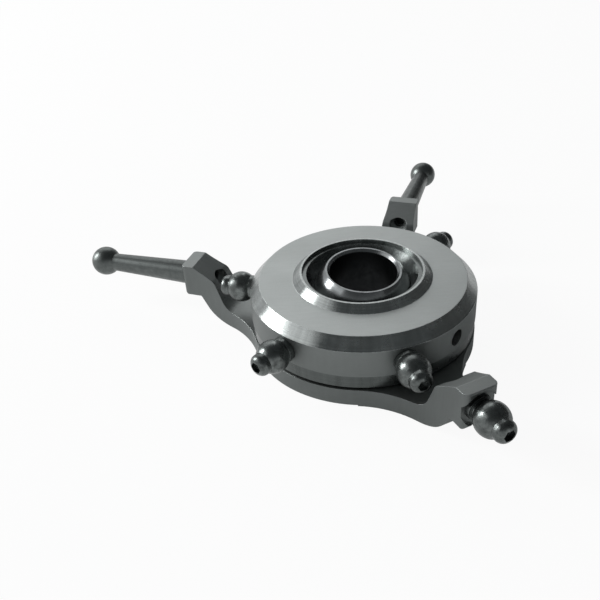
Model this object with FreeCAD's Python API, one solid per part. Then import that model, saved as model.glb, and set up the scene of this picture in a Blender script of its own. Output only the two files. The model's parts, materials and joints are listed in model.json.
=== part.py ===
import FreeCAD, Part
import math
import os

# Swashplate of a radio controlled helicopter, in millimetres.
# Origin at the centre of the pivot ball, +Z up along the axis of the two plates,
# +X towards the single short arm. The balls of all links lie in the plane z = 0.

# Upper ring, which turns with the rotor
ring_radius = 17.0
ring_top_z = 3.82
ring_bottom_z = -4.12
chamfer_width = 1.5
chamfer_height = 1.6
band_top_z = -1.98
band_taper = 0.14
edge_break = 0.2
lip_base_radius = 10.45
lip_crest_radius = 9.35
lip_crest_z = 4.86
seat_bore_radius = 9.0
skirt_inner_radius = 14.8
ring_underside_z = -2.0
hub_radius = 10.0
hub_bottom_z = -7.2
hub_shoulder_radius = 8.0
hub_shoulder_z = -4.8

# Lower plate, which doesn't turn
plate_top_z = -4.32
plate_bottom_z = -7.14
collar_radius = 14.4
collar_top_z = -2.6
bearing_floor_radius = 12.4

# Arms of the lower plate: two with long pins, and a short one with a taller block and a wider left flare
pin_arm_angles = {"left": 225.0, "right": 135.0}
short_arm_angle = 0.0
arm_half_width = 2.5
arm_flare_end = 26.4
block_end = 29.4
block_half_height = 2.6
block_corner = 0.8
block_top_start = 27.3
arm_bend = (23.7, 0.4)
short_block_top = 3.0
short_arm_bend = (23.5, 0.6)
short_arm_left_flare_end = 28.2
arm_bend_radius = 1.5
inner_rise_start = 21.8
inner_rise_radius = 2.5
outer_rise_start = 24.0
outer_rise_radius = 5.0
outer_rise_end = 26.4
arm_edge_radius = 0.2
arm_hole_radius = 0.9
arm_hole_end = 25.3
countersink_radius = 1.5
countersink_start = 24.0
spot_face_radius = 2.65
spot_face_depth = 0.8

# Main bearing, 20 x 27 x 4, and the circlip that keeps it on the hub
bearing_top_z = -2.2
bearing_width = 4.0
bearing_outer_radius = 13.5
inner_race_radius = 11.1
outer_race_radius = 12.4
bearing_ball_radius = 1.0
bearing_ball_count = 22
groove_clearance = 0.04
cage_half_width = 0.35
cage_half_height = 1.25
shield_thickness = 0.15
shield_inset = 0.1
shield_gap = 0.15
circlip_inner_radius = 9.6
circlip_outer_radius = 11.2
circlip_thickness = 0.5
circlip_gap = 24.0

# Pivot ball, its seats and the wear band
pivot_radius = 7.6
pivot_half_length = 5.05
shaft_radius = 5.0
shaft_chamfer = 0.4
pivot_lean = 5.4
seat_clearance = 0.04
seat_rim_z = 2.5
band_outer_radius = 8.1
band_half_height = 0.6
pocket_half_height = 2.15
retainer_top_z = 4.35
retainer_land_radius = 8.35

# Link balls and their screws, placed by their turn from the first ball
ring_turn = 350.8
link_turns = (0, 120, 240, 300)
side_hole_turns = (30, 210)
link_ball_radius = 2.4
link_ball_offset = 2.3
short_ball_offset = 2.9
thread_hole_radius = 1.25
thread_hole_depth = 5.5
screw_radius = 1.24
screw_reach = 5.0
neck_radius = 1.6
flange_radius = 1.9
flange_thickness = 0.75
ball_flat = 1.8
head_radius = 1.6
head_height = 1.5
head_round = 1.0
socket_width = 1.5
socket_depth = 0.8

# Long pins
pin_root_radius = 1.9
pin_neck_radius = 1.4
pin_ball_distance = 45.2

# Gap that stands for a tight fit between two pieces of one body
close_fit = 0.01

Z = FreeCAD.Vector(0, 0, 1)
ORIGIN = FreeCAD.Vector(0, 0, 0)
bearing_bottom_z = bearing_top_z - bearing_width
bearing_mid_z = bearing_top_z - bearing_width / 2
bearing_pitch_radius = (inner_race_radius + outer_race_radius) / 2
circlip_bottom_z = bearing_bottom_z - circlip_thickness
seat_radius = pivot_radius + seat_clearance
seat_rim_radius = math.sqrt(seat_radius ** 2 - seat_rim_z ** 2)
short_arm_seat = block_end - spot_face_depth


def vector(x, y, z):
    return FreeCAD.Vector(x, y, z)


def turned(profile):
    """Solid turned about Z from a closed outline of (radius, z) points."""
    points = [vector(r, 0, z) for r, z in profile]
    face = Part.Face(Part.makePolygon(points + points[:1]))
    return face.revolve(ORIGIN, Z, 360)


def tube(outer, inner, low, high):
    return turned([(inner, low), (outer, low), (outer, high), (inner, high)])


def bar(radius, start, end):
    """Round bar along X."""
    return Part.makeCylinder(radius, end - start, vector(start, 0, 0), vector(1, 0, 0))


def at_angle(shape, angle):
    placed = shape.copy()
    placed.rotate(ORIGIN, Z, angle)
    return placed


def hexagon_socket(start, depth):
    """Hexagonal prism along X, for the socket of a screw."""
    corner = socket_width / math.sqrt(3)
    points = []
    for step in range(6):
        turn = math.radians(60 * step)
        points.append(vector(start, corner * math.cos(turn), corner * math.sin(turn)))
    face = Part.Face(Part.makePolygon(points + points[:1]))
    return face.extrude(vector(depth, 0, 0))


def upper_ring():
    ring = turned([
        (seat_bore_radius, lip_crest_z),
        (lip_crest_radius, lip_crest_z),
        (lip_base_radius, ring_top_z),
        (ring_radius - chamfer_width, ring_top_z),
        (ring_radius, ring_top_z - chamfer_height),
        (ring_radius, band_top_z),
        (ring_radius - band_taper, ring_bottom_z + edge_break),
        (ring_radius - band_taper - edge_break, ring_bottom_z),
        (skirt_inner_radius, ring_bottom_z),
        (skirt_inner_radius, ring_underside_z),
        (inner_race_radius, ring_underside_z),
        (inner_race_radius, bearing_top_z),
        (hub_radius, bearing_top_z),
        (hub_radius, hub_bottom_z),
        (hub_shoulder_radius, hub_bottom_z),
        (hub_shoulder_radius, hub_shoulder_z),
        (seat_bore_radius, hub_shoulder_z),
    ])
    hole = bar(thread_hole_radius, ring_radius - thread_hole_depth, ring_radius + 1)
    for turn in link_turns + side_hole_turns:
        ring = ring.cut(at_angle(hole, ring_turn + turn))
    groove = tube(hub_radius + 1, circlip_inner_radius, circlip_bottom_z - close_fit, bearing_bottom_z)
    return ring.cut(groove)


def hub_circlip():
    inner_radius = circlip_inner_radius + close_fit
    ring = tube(circlip_outer_radius, inner_radius, circlip_bottom_z, bearing_bottom_z - close_fit)
    gap = Part.makeCylinder(2 * hub_radius, 4, vector(0, 0, circlip_bottom_z - 2), Z, circlip_gap)
    return ring.cut(at_angle(gap, ring_turn))


def seat_pocket():
    """Hollow that both seats leave for the pivot ball and for the wear band round it."""
    pocket = Part.makeSphere(band_outer_radius + seat_clearance)
    limit = Part.makeCylinder(seat_bore_radius, 2 * pocket_half_height, vector(0, 0, -pocket_half_height))
    return Part.makeSphere(seat_radius).fuse(pocket.common(limit))


def ball_retainer():
    ring = tube(seat_bore_radius - close_fit, seat_rim_radius - 1, close_fit, retainer_top_z)
    rise = retainer_land_radius ** 2 - seat_rim_radius ** 2 + retainer_top_z ** 2 - seat_rim_z ** 2
    dish_z = rise / (2 * (retainer_top_z - seat_rim_z))
    dish_radius = math.hypot(retainer_land_radius, dish_z - retainer_top_z)
    dish = Part.makeSphere(dish_radius, vector(0, 0, dish_z))
    return ring.cut(seat_pocket()).cut(dish)


def lower_seat_ring():
    bottom = hub_shoulder_z + close_fit
    ring = turned([
        (seat_rim_radius, -close_fit),
        (seat_rim_radius, -seat_rim_z),
        (hub_shoulder_radius, bottom),
        (seat_bore_radius - close_fit, bottom),
        (seat_bore_radius - close_fit, -close_fit),
    ])
    return ring.cut(seat_pocket())


def seat_band():
    band = Part.makeSphere(band_outer_radius).cut(Part.makeSphere(seat_radius))
    limit = Part.makeCylinder(seat_bore_radius, 2 * band_half_height, vector(0, 0, -band_half_height))
    return band.common(limit)


def centre_ball():
    mouth = shaft_radius + shaft_chamfer
    blank = turned([
        (mouth, -pivot_half_length),
        (pivot_radius + 1, -pivot_half_length),
        (pivot_radius + 1, pivot_half_length),
        (mouth, pivot_half_length),
        (shaft_radius, pivot_half_length - shaft_chamfer),
        (shaft_radius, shaft_chamfer - pivot_half_length),
    ])
    ball = Part.makeSphere(pivot_radius).common(blank)
    ball.rotate(ORIGIN, vector(0, 1, 0), pivot_lean)
    return ball


def race_groove():
    groove_radius = bearing_ball_radius + groove_clearance
    return Part.makeTorus(bearing_pitch_radius, groove_radius, vector(0, 0, bearing_mid_z))


def bearing_inner_race():
    race = tube(inner_race_radius, hub_radius + close_fit, bearing_bottom_z, bearing_top_z - close_fit)
    return race.cut(race_groove())


def shield_radius():
    return (outer_race_radius + bearing_outer_radius) / 2 - shield_gap


def bearing_outer_race():
    outer_radius = bearing_outer_radius - close_fit
    race = tube(outer_radius, outer_race_radius, bearing_bottom_z + close_fit, bearing_top_z)
    race = race.cut(race_groove())
    step = shield_inset + shield_thickness + close_fit
    for low in (bearing_top_z - step, bearing_bottom_z):
        race = race.cut(tube(shield_radius() + close_fit, inner_race_radius, low, low + step))
    return race


def bearing_shield(low):
    return tube(shield_radius(), inner_race_radius + shield_gap, low, low + shield_thickness)


def round_the_bearing(shape):
    """Copies of a shape made at the bearing's first ball, one at each ball."""
    step = 360 / bearing_ball_count
    return [at_angle(shape, step * index) for index in range(bearing_ball_count)]


def bearing_balls():
    ball = Part.makeSphere(bearing_ball_radius, vector(bearing_pitch_radius, 0, bearing_mid_z))
    return Part.makeCompound(round_the_bearing(ball))


def bearing_cage():
    cage = tube(
        bearing_pitch_radius + cage_half_width,
        bearing_pitch_radius - cage_half_width,
        bearing_mid_z - cage_half_height,
        bearing_mid_z + cage_half_height,
    )
    window = bar(bearing_ball_radius + groove_clearance, bearing_pitch_radius - 1, bearing_pitch_radius + 1)
    window.translate(vector(0, 0, bearing_mid_z))
    for place in round_the_bearing(window):
        cage = cage.cut(place)
    return cage


def rounded_face(corners):
    """Face in the XZ plane from corners (x, z, radius), each rounded by an arc tangent to its two sides."""
    points = [vector(x, 0, z) for x, z, radius in corners]
    arcs = []
    for index, (x, z, radius) in enumerate(corners):
        corner = points[index]
        before = (points[index - 1] - corner).normalize()
        after = (points[(index + 1) % len(points)] - corner).normalize()
        half_angle = before.getAngle(after) / 2
        reach = radius / math.tan(half_angle)
        inward = (before + after).normalize()
        bulge = corner + inward * (radius / math.sin(half_angle) - radius)
        arcs.append((corner + before * reach, bulge, corner + after * reach))
    wire = []
    for index, (start, bulge, end) in enumerate(arcs):
        if corners[index][2]:
            wire.append(Part.Arc(start, bulge, end).toShape())
        wire.append(Part.makeLine(end, arcs[(index + 1) % len(arcs)][0]))
    return Part.Face(Part.Wire(wire))


def arm_side(block_top, bend):
    """Side view of an arm: flat root, riser and end block."""
    return rounded_face([
        (collar_radius, plate_bottom_z, 0),
        (outer_rise_start, plate_bottom_z, outer_rise_radius),
        (outer_rise_end, -block_half_height, arm_edge_radius),
        (block_end, -block_half_height, block_corner),
        (block_end, block_top, arm_edge_radius),
        (block_top_start, block_top, arm_edge_radius),
        (*bend, arm_bend_radius),
        (inner_rise_start, plate_top_z, inner_rise_radius),
        (collar_radius, plate_top_z, 0),
    ])


def arm_half(flare_end):
    """Half of an arm as seen from above, made tall: an arc flares it out of the plate's round edge."""
    flare_radius = flare_end ** 2 + arm_half_width ** 2 - ring_radius ** 2
    flare_radius = flare_radius / (2 * (ring_radius - arm_half_width))
    flare_centre = vector(flare_end, arm_half_width + flare_radius, 0)
    meet = math.atan2(flare_centre.y, flare_centre.x)
    middle = (meet - math.pi - math.pi / 2) / 2
    edge_point = vector(ring_radius * math.cos(meet), ring_radius * math.sin(meet), 0)
    flare_middle = flare_centre + flare_radius * vector(math.cos(middle), math.sin(middle), 0)
    straight_start = vector(flare_end, arm_half_width, 0)
    corner_start = vector(block_end - block_corner, arm_half_width, 0)
    corner_centre = vector(block_end - block_corner, arm_half_width - block_corner, 0)
    corner_middle = corner_centre + block_corner * math.sqrt(0.5) * vector(1, 1, 0)
    corner_end = vector(block_end, arm_half_width - block_corner, 0)
    tip = vector(block_end, 0, 0)
    root = vector(edge_point.x, 0, 0)
    plan = Part.Face(Part.Wire([
        Part.Arc(edge_point, flare_middle, straight_start).toShape(),
        Part.makeLine(straight_start, corner_start),
        Part.Arc(corner_start, corner_middle, corner_end).toShape(),
        Part.makeLine(corner_end, tip),
        Part.makeLine(tip, root),
        Part.makeLine(root, edge_point),
    ]))
    half = plan.extrude(vector(0, 0, 2 * ring_radius))
    half.translate(vector(0, 0, -ring_radius))
    return half


def arm(block_top, bend, left_flare_end):
    side = arm_side(block_top, bend).extrude(vector(0, 2 * ring_radius, 0))
    side.translate(vector(0, -ring_radius, 0))
    right_half = arm_half(arm_flare_end).mirror(ORIGIN, vector(0, 1, 0))
    plan = arm_half(left_flare_end).fuse(right_half).removeSplitter()
    sink_depth = countersink_radius - arm_hole_radius
    sink = vector(countersink_start, 0, 0)
    blank = side.common(plan)
    blank = blank.cut(bar(countersink_radius, collar_radius, countersink_start))
    blank = blank.cut(Part.makeCone(countersink_radius, arm_hole_radius, sink_depth, sink, vector(1, 0, 0)))
    blank = blank.cut(bar(arm_hole_radius, countersink_start, arm_hole_end))
    return blank.cut(bar(thread_hole_radius, arm_hole_end, block_end + 1))


def lower_plate():
    plate = turned([
        (bearing_floor_radius, plate_bottom_z),
        (ring_radius - edge_break, plate_bottom_z),
        (ring_radius, plate_bottom_z + edge_break),
        (ring_radius, plate_top_z),
        (collar_radius, plate_top_z),
        (collar_radius, collar_top_z),
        (bearing_outer_radius, collar_top_z),
        (bearing_outer_radius, bearing_bottom_z),
        (bearing_floor_radius, bearing_bottom_z),
    ])
    for angle in pin_arm_angles.values():
        plate = plate.fuse(at_angle(arm(block_half_height, arm_bend, arm_flare_end), angle))
    short_arm = arm(short_block_top, short_arm_bend, short_arm_left_flare_end)
    plate = plate.fuse(at_angle(short_arm, short_arm_angle))
    spot_face = bar(spot_face_radius, short_arm_seat, block_end + 1)
    return plate.cut(at_angle(spot_face, short_arm_angle)).removeSplitter()


def link_ball(base, angle, offset):
    """Drilled ball with a neck and a flange, standing on a face at distance base from the axis."""
    centre = base + offset
    start = base + close_fit
    ball = Part.makeSphere(link_ball_radius, vector(centre, 0, 0))
    ball = ball.common(bar(link_ball_radius + 1, start, centre + ball_flat))
    ball = ball.fuse(bar(neck_radius, start, centre))
    ball = ball.fuse(bar(flange_radius, start, base + flange_thickness))
    ball = ball.cut(bar(thread_hole_radius, base - 1, centre + link_ball_radius))
    return at_angle(ball.removeSplitter(), angle)


def link_screw(base, angle, offset, reach):
    """Screw through a link ball, with its domed head outside the ball."""
    seat = base + offset + ball_flat + close_fit
    crown = seat + head_height
    head = bar(head_radius, seat, crown)
    rim = [edge for edge in head.Edges if edge.BoundBox.XMin > crown - head_round]
    head = head.makeFillet(head_round, rim)
    screw = head.fuse(bar(screw_radius, base - reach, seat))
    screw = screw.cut(hexagon_socket(crown - socket_depth, 2 * socket_depth))
    return at_angle(screw.removeSplitter(), angle)


def long_pin(angle):
    """Tapered pin with a ball at its end and a threaded shank in the arm's block."""
    start = block_end + close_fit
    length = pin_ball_distance - start
    cone = Part.makeCone(pin_root_radius, pin_neck_radius, length, vector(start, 0, 0), vector(1, 0, 0))
    pin = cone.fuse(Part.makeSphere(link_ball_radius, vector(pin_ball_distance, 0, 0)))
    pin = pin.fuse(bar(screw_radius, arm_hole_end, start))
    pin = pin.cut(hexagon_socket(arm_hole_end - socket_depth, 2 * socket_depth))
    return at_angle(pin.removeSplitter(), angle)


def build_parts():
    short_arm_reach = short_arm_seat - arm_hole_end
    parts = {
        "upper_ring": upper_ring(),
        "ball_retainer": ball_retainer(),
        "lower_seat_ring": lower_seat_ring(),
        "hub_circlip": hub_circlip(),
        "seat_band": seat_band(),
        "centre_ball": centre_ball(),
        "bearing_inner_race": bearing_inner_race(),
        "bearing_outer_race": bearing_outer_race(),
        "bearing_upper_shield": bearing_shield(bearing_top_z - shield_inset - shield_thickness),
        "bearing_lower_shield": bearing_shield(bearing_bottom_z + shield_inset),
        "bearing_balls": bearing_balls(),
        "bearing_cage": bearing_cage(),
        "lower_plate": lower_plate(),
        "short_arm_ball": link_ball(short_arm_seat, short_arm_angle, short_ball_offset),
        "short_arm_screw": link_screw(short_arm_seat, short_arm_angle, short_ball_offset, short_arm_reach),
    }
    for number, turn in enumerate(link_turns, start=1):
        angle = ring_turn + turn
        parts[f"link_ball_{number}"] = link_ball(ring_radius, angle, link_ball_offset)
        parts[f"link_screw_{number}"] = link_screw(ring_radius, angle, link_ball_offset, screw_reach)
    for side, angle in pin_arm_angles.items():
        parts[f"long_pin_{side}"] = long_pin(angle)
    return parts


os.makedirs("parts", exist_ok=True)
for name, shape in build_parts().items():
    shape.exportStep(f"parts/{name}.step")
    print(name, len(shape.Solids), "solid", shape.isValid(), round(shape.Volume, 1), "mm3")
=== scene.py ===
import json
import math

import bpy
from mathutils import Matrix, Vector


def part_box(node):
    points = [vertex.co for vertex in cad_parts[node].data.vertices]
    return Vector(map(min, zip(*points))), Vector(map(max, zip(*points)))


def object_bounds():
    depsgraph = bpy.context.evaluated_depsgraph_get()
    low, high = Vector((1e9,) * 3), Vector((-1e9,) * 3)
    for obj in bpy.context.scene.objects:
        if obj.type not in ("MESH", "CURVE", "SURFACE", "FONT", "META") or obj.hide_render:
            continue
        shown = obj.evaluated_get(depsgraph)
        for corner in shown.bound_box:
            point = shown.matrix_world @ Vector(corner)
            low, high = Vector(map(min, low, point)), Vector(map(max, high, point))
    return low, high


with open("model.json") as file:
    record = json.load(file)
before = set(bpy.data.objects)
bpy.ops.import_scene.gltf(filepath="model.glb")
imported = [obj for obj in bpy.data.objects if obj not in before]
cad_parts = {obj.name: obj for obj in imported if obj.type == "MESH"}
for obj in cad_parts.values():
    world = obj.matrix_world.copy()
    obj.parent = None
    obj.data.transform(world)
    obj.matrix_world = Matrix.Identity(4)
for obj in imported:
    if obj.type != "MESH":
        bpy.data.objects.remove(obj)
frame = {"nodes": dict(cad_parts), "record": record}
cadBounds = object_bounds()
nodes = frame["nodes"]
mm = 0.001
print("frame loaded:", len(nodes), "pieces")


def linearColour(text):
    channels = []
    for start in (0, 2, 4):
        value = int(text[start:start + 2], 16) / 255
        channels.append(value / 12.92 if value <= 0.04045 else ((value + 0.055) / 1.055) ** 2.4)
    return (*channels, 1.0)


# Adds a node: settings are its properties or fixed inputs, links are the nodes or sockets that feed it.
def addNode(tree, kind, settings=None, links=None):
    node = tree.nodes.new("ShaderNode" + kind)
    for name, value in (settings or {}).items():
        if isinstance(name, str) and hasattr(node, name):
            setattr(node, name, value)
        else:
            node.inputs[name].default_value = value
    for name, source in (links or {}).items():
        outlet = source if isinstance(source, bpy.types.NodeSocket) else source.outputs[0]
        tree.links.new(outlet, node.inputs[name])
    return node


def newMaterial(name):
    material = bpy.data.materials.new(name)
    material.use_nodes = True
    material.node_tree.nodes.clear()
    return material, material.node_tree


noiseLow, noiseHigh = 0.3, 0.7                  # nearly all of a noise lies between these
colourA, colourB, colourResult = 6, 7, 2        # the Mix node's colour sockets, whose names aren't unique


# A point's place on the part in millimetres, so that every pattern below has its real size.
def placeInMm(tree):
    coords = addNode(tree, "TexCoord")
    return addNode(tree, "VectorMath", {"operation": "SCALE", "Scale": 1 / mm}, {0: coords.outputs["Object"]})


# Turns a noise into a value that runs from low to high.
def spread(tree, noise, low, high):
    settings = {"From Min": noiseLow, "From Max": noiseHigh, "To Min": low, "To Max": high}
    return addNode(tree, "MapRange", settings, {"Value": noise})


# 1 where a value lies between low and high, 0 elsewhere.
def between(tree, value, low, high):
    above = addNode(tree, "Math", {"operation": "GREATER_THAN", 1: low}, {0: value})
    below = addNode(tree, "Math", {"operation": "LESS_THAN", 1: high}, {0: value})
    return addNode(tree, "Math", {"operation": "MULTIPLY"}, {0: above, 1: below})


# Distance from the Z axis and height, both in millimetres.
def radiusAndHeight(tree, place):
    split = addNode(tree, "SeparateXYZ", links={0: place})
    flat = addNode(tree, "CombineXYZ", links={"X": split.outputs["X"], "Y": split.outputs["Y"]})
    radius = addNode(tree, "VectorMath", {"operation": "LENGTH"}, {0: flat})
    return radius.outputs["Value"], split.outputs["Z"]


# Blasted aluminium: 7075 alloy, machined, bead blasted and clear anodised.
# The blast scatters light, so faces look an even soft grey with a fine grain; sides are painted darker than
# upward faces as shade, and edges are painted brighter as a highlight.
ringFinish = {
    "topColour": "acb0af",
    "sideColour": "717574",
    "facing": (0.35, 0.9),          # how far a face looks up, from a side's painted shade to a top's lit tone
    "roughness": (0.46, 0.55),
    "grainMm": 0.22,                # real grit is near 0.05 mm, drawn coarser so that it shows
    "grainShade": (0.95, 1.05),
    "cloudMm": 11.0,                # slow change of tone across a face
    "cloudShade": (0.93, 1.06),
    "lapMm": 0.3,                   # real lapping lines are near 0.05 mm, drawn coarser so that they show
    "lapTurn": 67,                  # they run this many degrees from the X axis
    "lapDraw": (0.1, 1.0, 0.1),     # each line is about ten times as long as it is wide
    "lapShade": (0.975, 1.025),
    "edgeMm": 0.14,
    "edgeSense": (0.99, 0.85),      # cosine of the turn at an edge, from no painted highlight to the full one
    "edgeWear": 1.35,
    "bump": 0.06,
    "bumpMm": 0.1,
}
# The lower plate has the same painted shade on its sides, with its own tones.
plateFinish = dict(ringFinish, topColour="8b8f8e", sideColour="6c706f")


def blastedShader(tree, place, finish):
    grain = addNode(tree, "TexNoise", {"Scale": 1 / finish["grainMm"], "Detail": 3.0, "Roughness": 0.6},
                    {"Vector": place})
    cloud = addNode(tree, "TexNoise", {"Scale": 1 / finish["cloudMm"], "Detail": 2.0}, {"Vector": place})
    lapAngle = math.radians(-finish["lapTurn"])
    turned = addNode(tree, "VectorRotate", {"rotation_type": "Z_AXIS", "Angle": lapAngle}, {"Vector": place})
    drawn = addNode(tree, "VectorMath", {"operation": "MULTIPLY", 1: finish["lapDraw"]}, {0: turned})
    lap = addNode(tree, "TexNoise", {"Scale": 1 / finish["lapMm"], "Detail": 2.0}, {"Vector": drawn})

    # Painted shade: upward faces get the lighter tone and sides a darker one, for how the light falls on
    # them; lapping lines run over every face.
    normal = addNode(tree, "TexCoord").outputs["Normal"]
    facing = addNode(tree, "SeparateXYZ", links={0: normal}).outputs["Z"]
    side, top = finish["facing"]
    paintedShadeByFacing = addNode(tree, "MapRange", {"From Min": side, "From Max": top}, {"Value": facing})
    tones = {colourA: linearColour(finish["sideColour"]), colourB: linearColour(finish["topColour"])}
    tone = addNode(tree, "Mix", {"data_type": "RGBA", **tones}, {0: paintedShadeByFacing})
    cloudShade = spread(tree, cloud, *finish["cloudShade"])
    grainShade = spread(tree, grain, *finish["grainShade"])
    lapShade = spread(tree, lap, *finish["lapShade"])
    shade = addNode(tree, "Math", {"operation": "MULTIPLY"}, {0: cloudShade, 1: grainShade})
    shade = addNode(tree, "Math", {"operation": "MULTIPLY"}, {0: shade, 1: lapShade})

    # The rounded normal leaves the face's own only at an edge: there the colour is brightened, a painted
    # highlight.
    edge = addNode(tree, "Bevel", {"samples": 4, "Radius": finish["edgeMm"] * mm})
    flat = addNode(tree, "NewGeometry").outputs["Normal"]
    likeness = addNode(tree, "VectorMath", {"operation": "DOT_PRODUCT"}, {0: edge, 1: flat}).outputs["Value"]
    # Painted highlight: the further an edge's normal turns from the face's, the brighter its colour.
    plainEdge, worn = finish["edgeSense"]
    edgeHighlightRange = {"From Min": plainEdge, "From Max": worn, "To Min": 1.0, "To Max": finish["edgeWear"]}
    paintedEdgeHighlight = addNode(tree, "MapRange", edgeHighlightRange, {"Value": likeness})
    shade = addNode(tree, "Math", {"operation": "MULTIPLY"}, {0: shade, 1: paintedEdgeHighlight})
    tone = tone.outputs[colourResult]
    colour = addNode(tree, "VectorMath", {"operation": "SCALE"}, {0: tone, "Scale": shade})
    rough = spread(tree, grain, *finish["roughness"])
    bump = addNode(tree, "Bump", {"Strength": finish["bump"], "Distance": finish["bumpMm"] * mm},
                   {"Height": grain, "Normal": edge})
    return addNode(tree, "BsdfPrincipled", {"Metallic": 1.0},
                   {"Base Color": colour, "Roughness": rough, "Normal": bump})


# Where the ring's bright cuts lie, in millimetres.
ringFaces = {
    "radius": 17.0,
    "chamferWidth": 1.5,
    "chamferHeight": 1.6,
    "faceHeight": 3.82,
    "bandTop": -1.98,
    "lipRadius": 10.45,
    "slack": 0.02,
}

# Bright-cut aluminium: faces turned with a sharp tool after anodising.
# Fine grooves run round the part, so a highlight stays narrow along them and spreads across them.
cutFinish = {
    "colour": "959998",
    "roughness": (0.19, 0.31),
    "streak": 0.6,
    "streakTurn": 0.25,             # a quarter turn lays the highlight across the grooves
    "lineMm": 0.16,                 # real feed is near 0.05 mm, drawn coarser so that it shows
    "lineShade": (0.9, 1.08),
    "patchMm": 3.0,
    "patchShade": (0.9, 1.1),
    "chatterMm": 0.9,               # painted reflection: faint light and dark bars across a cut face, for the room mirrored in it
    "chatterShade": (0.88, 1.12),
    "edgeMm": 0.1,
    "bump": 0.05,
    "bumpMm": 0.05,
}
# The shoulder under the ring's side: the same cut but duller, with a darker colour as painted shade for the
# shadow under the ring.
shadedBandFinish = dict(cutFinish, colour="585c5b", roughness=(0.23, 0.35))
# The retainer's dish and the seat ring under it: the same cut, left bare, with a darker colour.
dishFinish = dict(cutFinish, colour="606463", streak=0.4, lineMm=0.12)


def cutShader(tree, place, finish):
    height = addNode(tree, "SeparateXYZ", links={0: place}).outputs["Z"]
    lineNoise = {"noise_dimensions": "1D", "Scale": 1 / finish["lineMm"], "Detail": 2.0}
    lines = addNode(tree, "TexNoise", lineNoise, {"W": height})
    patches = addNode(tree, "TexNoise", {"Scale": 1 / finish["patchMm"], "Detail": 3.0}, {"Vector": place})
    level = addNode(tree, "VectorMath", {"operation": "MULTIPLY", 1: (1.0, 1.0, 0.0)}, {0: place})
    outward = addNode(tree, "VectorMath", {"operation": "NORMALIZE"}, {0: level})
    # Painted reflection: the colour turns lighter and darker round the axis, standing in for the room
    # mirrored in the cut.
    reflectionBarScale = ringFaces["radius"] / finish["chatterMm"]        # true to size at the ring's edge
    paintedReflectionBars = addNode(tree, "TexNoise", {"Scale": reflectionBarScale, "Detail": 2.0}, {"Vector": outward})
    lineShade = spread(tree, lines, *finish["lineShade"])
    patchShade = spread(tree, patches, *finish["patchShade"])
    paintedBarShade = spread(tree, paintedReflectionBars, *finish["chatterShade"])
    shade = addNode(tree, "Math", {"operation": "MULTIPLY"}, {0: lineShade, 1: patchShade})
    shade = addNode(tree, "Math", {"operation": "MULTIPLY"}, {0: shade, 1: paintedBarShade})
    colour = addNode(tree, "VectorMath", {"operation": "SCALE", 0: linearColour(finish["colour"])[:3]},
                     {"Scale": shade})
    rough = spread(tree, patches, *finish["roughness"])
    edge = addNode(tree, "Bevel", {"samples": 4, "Radius": finish["edgeMm"] * mm})
    bump = addNode(tree, "Bump", {"Strength": finish["bump"], "Distance": finish["bumpMm"] * mm},
                   {"Height": lines, "Normal": edge})
    around = addNode(tree, "Tangent", {"direction_type": "RADIAL", "axis": "Z"})
    metal = {"Metallic": 1.0, "Anisotropic": finish["streak"], "Anisotropic Rotation": finish["streakTurn"]}
    return addNode(tree, "BsdfPrincipled", metal,
                   {"Base Color": colour, "Roughness": rough, "Normal": bump, "Tangent": around})


def upperRingMaterial():
    material, tree = newMaterial("blasted aluminium with bright-cut edges")
    place = placeInMm(tree)
    radius, height = radiusAndHeight(tree, place)
    slack = ringFaces["slack"]
    face = ringFaces["faceHeight"]
    low, high = (corner.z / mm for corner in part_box("upper_ring"))
    outerStart = ringFaces["radius"] - ringFaces["chamferWidth"] + slack
    outer = addNode(tree, "Math", {"operation": "GREATER_THAN", 1: outerStart}, {0: radius})
    inner = addNode(tree, "Math", {"operation": "LESS_THAN", 1: ringFaces["lipRadius"] + slack}, {0: radius})
    chamfer = between(tree, height, face - ringFaces["chamferHeight"] - slack, face - slack)
    chamfer = addNode(tree, "Math", {"operation": "MULTIPLY"}, {0: chamfer, 1: outer})
    band = between(tree, height, low - slack, ringFaces["bandTop"] + slack)
    band = addNode(tree, "Math", {"operation": "MULTIPLY"}, {0: band, 1: outer})
    lip = between(tree, height, face + slack, high + slack)
    lip = addNode(tree, "Math", {"operation": "MULTIPLY"}, {0: lip, 1: inner})
    bright = addNode(tree, "Math", {"operation": "MAXIMUM"}, {0: chamfer, 1: lip})
    blasted = blastedShader(tree, place, ringFinish)
    surface = addNode(tree, "MixShader", links={0: bright, 1: blasted, 2: cutShader(tree, place, cutFinish)})
    # The shoulder's darker colour is painted shade.
    surface = addNode(tree, "MixShader", links={0: band, 1: surface, 2: cutShader(tree, place, shadedBandFinish)})
    addNode(tree, "OutputMaterial", links={"Surface": surface})
    return material


def lowerPlateMaterial():
    material, tree = newMaterial("blasted aluminium")
    surface = blastedShader(tree, placeInMm(tree), plateFinish)
    addNode(tree, "OutputMaterial", links={"Surface": surface})
    return material


def dishMaterial():
    material, tree = newMaterial("turned aluminium")
    surface = cutShader(tree, placeInMm(tree), dishFinish)
    addNode(tree, "OutputMaterial", links={"Surface": surface})
    return material


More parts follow.
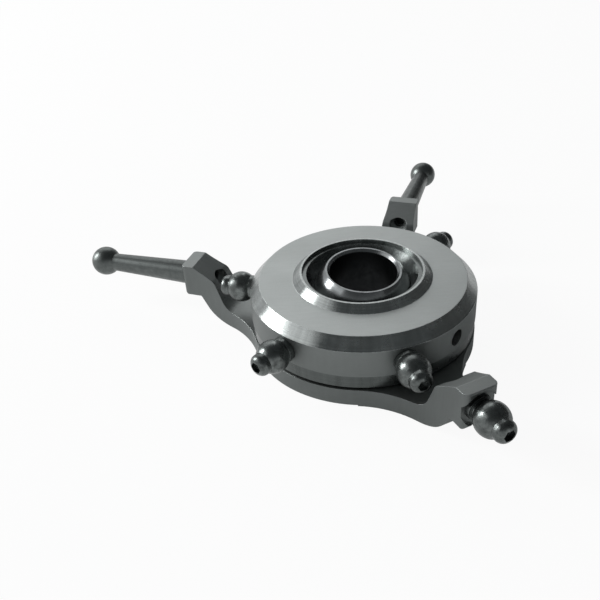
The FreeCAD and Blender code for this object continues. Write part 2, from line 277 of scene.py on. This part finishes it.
# Steel pieces: ground or polished, then handled and greased.
# Each keeps a soft highlight, broken by faint stains and hair scratches.
steelFinishes = {
    "linkBall": {"name": "chrome steel, worn", "colour": "636766", "roughness": 0.3, "stain": 0.45},
    "linkScrew": {"name": "alloy steel, black nickel", "colour": "606463", "roughness": 0.3, "stain": 0.45},
    "longPin": {"name": "alloy steel, ground", "colour": "5f6362", "roughness": 0.38, "stain": 0.15},
    "centreBall": {"name": "bearing steel, polished, with a blackened bore", "colour": "7b7e7f",
                   "roughness": 0.22, "stain": 0.15},
    "bore": {"colour": "2c2e2f", "roughness": 0.35, "stain": 0.2, "slackMm": 0.05},
    "bearing": {"name": "bearing steel, ground", "colour": "a3a5a6", "roughness": 0.15, "stain": 0.08},
    "shield": {"name": "mild steel, pressed", "colour": "8f9192", "roughness": 0.3, "stain": 0.15},
    "circlip": {"name": "spring steel, phosphated", "colour": "2f3132", "roughness": 0.45, "stain": 0.2},
}
steelGrain = {
    "scratchMm": 0.5,               # hair scratches are near 0.02 mm, drawn coarser so that they show
    "scratchShade": (0.94, 1.05),
    "stainMm": 0.9,
    "edgeMm": 0.08,
    "bump": 0.04,
    "bumpMm": 0.05,
}


def steelShader(tree, place, finish):
    scratchNoise = {"Scale": 1 / steelGrain["scratchMm"], "Detail": 6.0, "Roughness": 0.75, "Distortion": 1.5}
    scratch = addNode(tree, "TexNoise", scratchNoise, {"Vector": place})
    stainNoise = {"Scale": 1 / steelGrain["stainMm"], "Detail": 4.0, "Roughness": 0.6}
    stains = addNode(tree, "TexNoise", stainNoise, {"Vector": place})
    darkest, lightest = 1 - finish["stain"], 1 + finish["stain"]
    scratchShade = spread(tree, scratch, *steelGrain["scratchShade"])
    stainShade = spread(tree, stains, darkest, lightest)
    shade = addNode(tree, "Math", {"operation": "MULTIPLY"}, {0: scratchShade, 1: stainShade})
    colour = addNode(tree, "VectorMath", {"operation": "SCALE", 0: linearColour(finish["colour"])[:3]},
                     {"Scale": shade})
    rough = spread(tree, stains, finish["roughness"] * lightest, finish["roughness"] * darkest)
    edge = addNode(tree, "Bevel", {"samples": 4, "Radius": steelGrain["edgeMm"] * mm})
    bump = addNode(tree, "Bump", {"Strength": steelGrain["bump"], "Distance": steelGrain["bumpMm"] * mm},
                   {"Height": scratch, "Normal": edge})
    return addNode(tree, "BsdfPrincipled", {"Metallic": 1.0},
                   {"Base Color": colour, "Roughness": rough, "Normal": bump})


def steelMaterial(finish):
    material, tree = newMaterial(finish["name"])
    surface = steelShader(tree, placeInMm(tree), finish)
    addNode(tree, "OutputMaterial", links={"Surface": surface})
    return material


# The bore is whatever lies no further from the shaft's axis than its own wall.
def centreBallMaterial():
    material, tree = newMaterial(steelFinishes["centreBall"]["name"])
    place = placeInMm(tree)
    shaft = next(mount for mount in frame["record"]["mounts"] if mount["name"] == "main_shaft")
    axis = Vector(shaft["axis"])
    wall = shaft["dims"]["r_mm"] + steelFinishes["bore"]["slackMm"]
    along = addNode(tree, "VectorMath", {"operation": "DOT_PRODUCT", 1: axis}, {0: place}).outputs["Value"]
    onAxis = addNode(tree, "VectorMath", {"operation": "SCALE", 0: axis}, {"Scale": along})
    offAxis = addNode(tree, "VectorMath", {"operation": "DISTANCE"}, {0: place, 1: onAxis}).outputs["Value"]
    # The bore's wall is given a much darker colour than the ball.
    inBore = addNode(tree, "Math", {"operation": "LESS_THAN", 1: wall}, {0: offAxis})
    outside = steelShader(tree, place, steelFinishes["centreBall"])
    inside = steelShader(tree, place, steelFinishes["bore"])
    surface = addNode(tree, "MixShader", links={0: inBore, 1: outside, 2: inside})
    addNode(tree, "OutputMaterial", links={"Surface": surface})
    return material


# Moulded or turned plastic: matt, with a faint grain in its colour. The other pieces hide nearly all of it.
plasticFinishes = {
    "cage": {"name": "nylon, moulded", "colour": "d8d0ba", "roughness": (0.45, 0.55)},
    "seat": {"name": "acetal, turned", "colour": "d9d9d4", "roughness": (0.35, 0.45)},
}
plasticGrain = {
    "grainMm": 0.2,
    "grainShade": (0.94, 1.04),
    "bump": 0.1,
    "bumpMm": 0.05,
}


def plasticMaterial(finish):
    material, tree = newMaterial(finish["name"])
    place = placeInMm(tree)
    grain = addNode(tree, "TexNoise", {"Scale": 1 / plasticGrain["grainMm"], "Detail": 3.0},
                    {"Vector": place})
    shade = spread(tree, grain, *plasticGrain["grainShade"])
    colour = addNode(tree, "VectorMath", {"operation": "SCALE", 0: linearColour(finish["colour"])[:3]},
                     {"Scale": shade})
    rough = spread(tree, grain, *finish["roughness"])
    bump = addNode(tree, "Bump", {"Strength": plasticGrain["bump"], "Distance": plasticGrain["bumpMm"] * mm},
                   {"Height": grain})
    surface = addNode(tree, "BsdfPrincipled",
                      links={"Base Color": colour, "Roughness": rough, "Normal": bump})
    addNode(tree, "OutputMaterial", links={"Surface": surface})
    return material


def dress(names, material):
    for name in names:
        nodes[name].data.materials.clear()
        nodes[name].data.materials.append(material)


linkBalls = [name for name in nodes if name.startswith("link_ball")]
linkScrews = [name for name in nodes if name.startswith("link_screw")]
dress(["upper_ring"], upperRingMaterial())
dress(["lower_plate"], lowerPlateMaterial())
dress(["ball_retainer", "lower_seat_ring"], dishMaterial())
dress(["centre_ball"], centreBallMaterial())
dress(linkBalls + ["short_arm_ball"], steelMaterial(steelFinishes["linkBall"]))
dress(linkScrews + ["short_arm_screw"], steelMaterial(steelFinishes["linkScrew"]))
dress(["long_pin_left", "long_pin_right"], steelMaterial(steelFinishes["longPin"]))
dress(["bearing_inner_race", "bearing_outer_race", "bearing_balls"], steelMaterial(steelFinishes["bearing"]))
dress(["bearing_upper_shield", "bearing_lower_shield"], steelMaterial(steelFinishes["shield"]))
dress(["hub_circlip"], steelMaterial(steelFinishes["circlip"]))
dress(["bearing_cage"], plasticMaterial(plasticFinishes["cage"]))
dress(["seat_band"], plasticMaterial(plasticFinishes["seat"]))
print("materials on")


# A point as seen from the part: turn and rise are in degrees, the distance is in the caller's own unit.
def spherePoint(turn, rise, distance):
    turn, rise = math.radians(turn), math.radians(rise)
    flat = math.cos(rise)
    return Vector((math.cos(turn) * flat, math.sin(turn) * flat, math.sin(rise))) * distance


# Pale paper floor. The camera sees it nearly white, metal mirrors it with the part's own shadow.
floorSheet = {
    "radius": 2.0,
    "sides": 96,
    "gapMm": 0.02,                  # the sheet lies this far under the part
    "colour": "f4f5f5",
    "fibresPerMm": 0.9,             # flocks of fibre, each about 1 mm wide
    "bump": 0.02,
    "bumpMm": 0.1,
    "glow": 0.93,                   # share of plain white in what the camera sees
    "shadowGlow": 0.1,              # the same share mirrored in metal, in the middle of the part's shadow
    "openGlow": 0.85,               # and outside it
    "shadowTurn": 66,               # the shadow falls away from the left softboxes
    "shadowMiddleMm": 35,
    "shadowReachMm": (20, 62),      # radii of its dark middle and of its soft edge
}


def makeFloor():
    level = cadBounds[0][2] - floorSheet["gapMm"] * mm
    bpy.ops.mesh.primitive_circle_add(vertices=floorSheet["sides"], radius=floorSheet["radius"],
                                      fill_type="NGON", location=(0, 0, level))
    floor = bpy.context.object
    floor.name = "floor"
    material, tree = newMaterial("paper sheet")
    place = placeInMm(tree)
    fibres = addNode(tree, "TexNoise", {"Scale": floorSheet["fibresPerMm"], "Detail": 3.0}, {"Vector": place})
    bump = addNode(tree, "Bump", {"Strength": floorSheet["bump"], "Distance": floorSheet["bumpMm"] * mm},
                   {"Height": fibres})
    paper = addNode(tree, "BsdfDiffuse", {"Color": linearColour(floorSheet["colour"])}, {"Normal": bump})
    white = addNode(tree, "Emission", {"Color": (1, 1, 1, 1), "Strength": 1.0})
    path = addNode(tree, "LightPath")
    straight = addNode(tree, "Math", {"operation": "MAXIMUM"},
                       {0: path.outputs["Is Camera Ray"], 1: path.outputs["Is Transmission Ray"]})
    seen = addNode(tree, "Math", {"operation": "MULTIPLY", 1: floorSheet["glow"]}, {0: straight})
    middle = spherePoint(floorSheet["shadowTurn"], 0, floorSheet["shadowMiddleMm"])
    away = addNode(tree, "VectorMath", {"operation": "DISTANCE", 1: middle}, {0: place}).outputs["Value"]
    dark, clear = floorSheet["shadowReachMm"]
    fade = {"From Min": dark, "From Max": clear,
            "To Min": floorSheet["shadowGlow"], "To Max": floorSheet["openGlow"]}
    pool = addNode(tree, "MapRange", fade, {"Value": away})
    mirrored = addNode(tree, "Math", {"operation": "MULTIPLY"}, {0: path.outputs["Is Glossy Ray"], 1: pool})
    share = addNode(tree, "Math", {"operation": "MAXIMUM"}, {0: seen, 1: mirrored})
    surface = addNode(tree, "MixShader", links={0: share, 1: paper, 2: white})
    addNode(tree, "OutputMaterial", links={"Surface": surface})
    floor.data.materials.append(material)


# The room that the metal mirrors: pale walls low down, an unlit ceiling over them.
room = {
    "wallColour": "ecedee",
    "ceilingColour": "606364",
    "wallTop": 0.15,                # sines of the heights at which the walls end and the ceiling begins
    "ceilingStart": 0.55,
}


def makeWorld():
    world = bpy.data.worlds.new("studio")
    world.use_nodes = True
    tree = world.node_tree
    tree.nodes.clear()
    direction = addNode(tree, "TexCoord").outputs["Generated"]
    height = addNode(tree, "SeparateXYZ", links={0: direction}).outputs["Z"]
    rise = {"From Min": room["wallTop"], "From Max": room["ceilingStart"]}
    upper = addNode(tree, "MapRange", rise, {"Value": height})
    tones = {colourA: linearColour(room["wallColour"]), colourB: linearColour(room["ceilingColour"])}
    tone = addNode(tree, "Mix", {"data_type": "RGBA", **tones}, {0: upper})
    light = addNode(tree, "Background", {"Strength": 1.0}, {"Color": tone.outputs[colourResult]})
    addNode(tree, "OutputWorld", links={"Surface": light})
    bpy.context.scene.world = world


# Softboxes and the card stand on a sphere round the part: turn and rise in degrees, the rest in metres.
softboxes = {
    "leftStrip": {"turn": -129, "rise": 23, "distance": 0.55, "width": 0.13, "height": 0.26, "watts": 2.3},
    "leftFill": {"turn": -106, "rise": 36, "distance": 0.6, "width": 0.42, "height": 0.26, "watts": 0.45},
    "backTop": {"turn": 170, "rise": 38, "distance": 0.9, "width": 0.8, "height": 0.55, "watts": 1.85},
}
# A black card, as studios call it, gives the metal its dark side. This one is dark grey.
blackCard = {"turn": 80, "rise": 20, "distance": 0.35, "width": 0.8, "height": 0.26, "colour": "646565"}


def faceThePart(piece, stand):
    piece.location = spherePoint(stand["turn"], stand["rise"], stand["distance"])
    piece.rotation_euler = (-piece.location).to_track_quat("-Z", "Y").to_euler()
    piece.visible_camera = False


def makeSoftbox(name, box):
    lamp = bpy.data.lights.new(name, "AREA")
    lamp.shape = "RECTANGLE"
    lamp.size = box["width"]
    lamp.size_y = box["height"]
    lamp.energy = box["watts"]
    holder = bpy.data.objects.new(name, lamp)
    bpy.context.scene.collection.objects.link(holder)
    faceThePart(holder, box)


def makeCard():
    bpy.ops.mesh.primitive_plane_add(size=1)
    sheet = bpy.context.object
    sheet.name = "blackCard"
    sheet.scale = (blackCard["width"], blackCard["height"], 1)
    faceThePart(sheet, blackCard)
    material, tree = newMaterial("dark grey card")
    surface = addNode(tree, "BsdfDiffuse", {"Color": linearColour(blackCard["colour"])})
    addNode(tree, "OutputMaterial", links={"Surface": surface})
    sheet.data.materials.append(material)


cameraView = {
    "placeMm": (83.64, -46.59, 63.17),
    "turn": -23.4,                  # where it looks from, as seen from what it aims at
    "rise": 33.51,
    "roll": -4.15,                  # tips it about its own axis
    "lens": 44.96,
    "sensorWidth": 36,
    "nearest": 0.001,               # in metres, nothing nearer than this is seen
}


def makeCamera():
    data = bpy.data.cameras.new("camera")
    data.lens = cameraView["lens"]
    data.sensor_width = cameraView["sensorWidth"]
    data.clip_start = cameraView["nearest"]
    camera = bpy.data.objects.new("camera", data)
    bpy.context.scene.collection.objects.link(camera)
    look = -spherePoint(cameraView["turn"], cameraView["rise"], 1.0)
    roll = Matrix.Rotation(math.radians(cameraView["roll"]), 3, "Z")
    aim = look.to_track_quat("-Z", "Y").to_matrix() @ roll
    camera.matrix_world = Matrix.Translation(Vector(cameraView["placeMm"]) * mm) @ aim.to_4x4()
    bpy.context.scene.camera = camera


makeFloor()
makeWorld()
for name, box in softboxes.items():
    makeSoftbox(name, box)
makeCard()
makeCamera()
bpy.context.scene.view_settings.view_transform = "Standard"
print("studio set")
